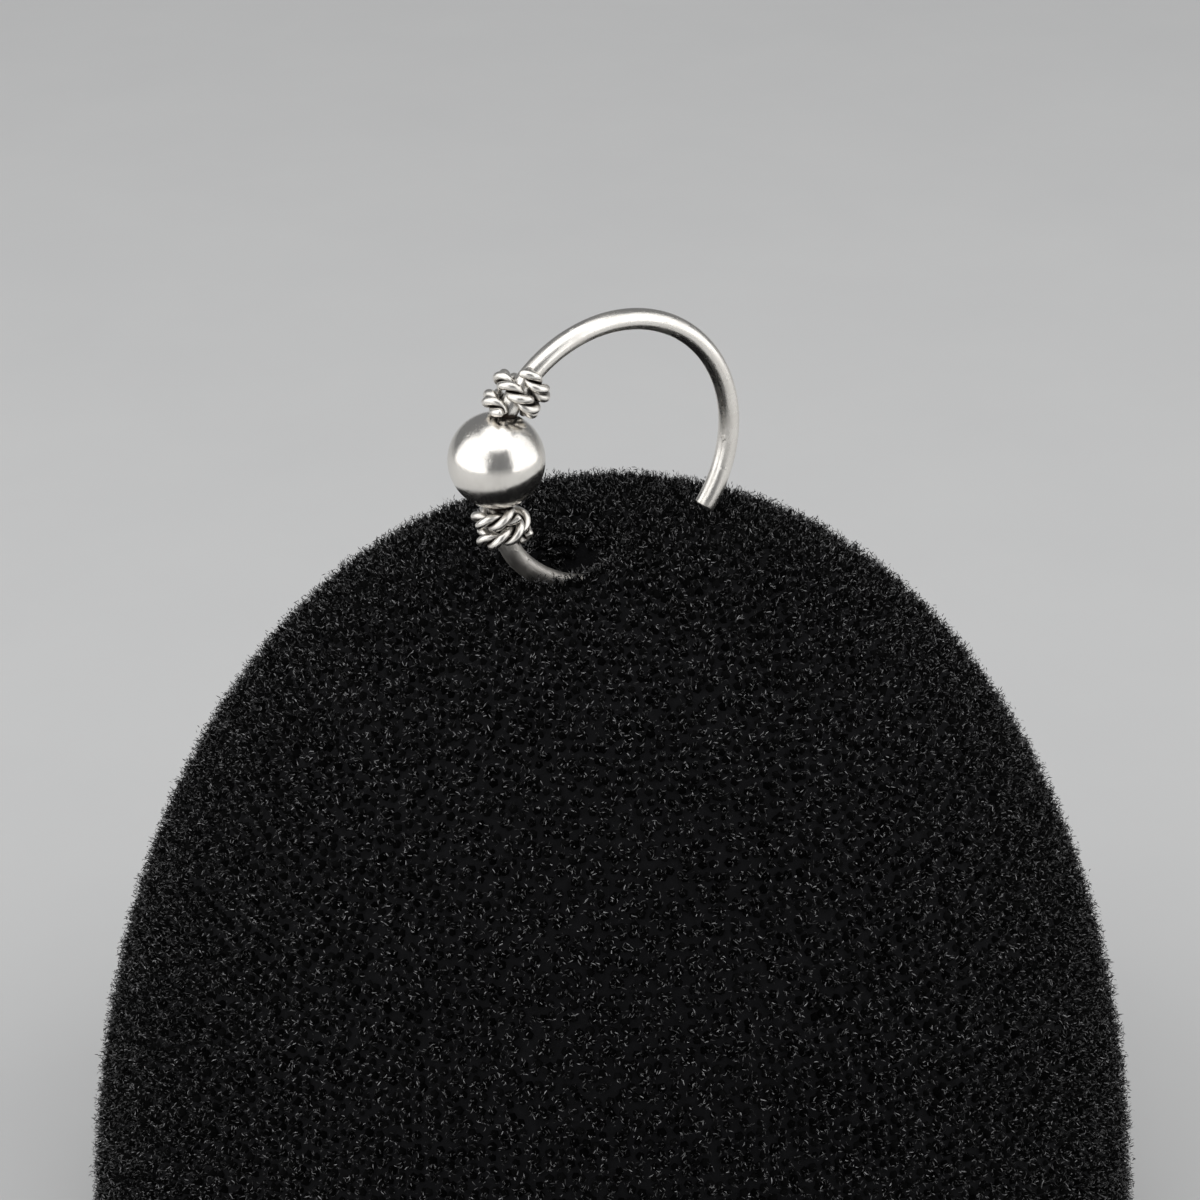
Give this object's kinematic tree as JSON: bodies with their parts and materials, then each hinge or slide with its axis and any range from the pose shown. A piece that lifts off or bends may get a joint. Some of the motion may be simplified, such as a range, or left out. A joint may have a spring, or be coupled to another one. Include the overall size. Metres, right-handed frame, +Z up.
{
  "type": "nose ring on display stand",
  "caption": "Open silver nose hoop with a drilled ball bead between two wound twisted-wire ropes, pushed by one end into a velvet-covered domed display stand.",
  "frame": {"origin": "middle of the stand's flat base", "axes": "+Z up, the hoop stands in a plane parallel to X and Z with its bead on the -X side, and -Y faces the viewer"},
  "size_m": [0.044, 0.044, 0.0437],
  "materials": {
    "silver_wire": "polished silver with fine scratches and nicks",
    "silver_bead": "bright polished silver",
    "silver_rope": "polished silver, blackened in the grooves",
    "velvet": "short black pile"
  },
  "bodies": {
    "root": {"hoop_wire": "silver_wire", "ball_bead": "silver_bead", "upper_rope_strand_1": "silver_rope", "upper_rope_strand_2": "silver_rope", "lower_rope_strand_1": "silver_rope", "lower_rope_strand_2": "silver_rope", "display_stand": "velvet"}
  },
  "joints": []
}
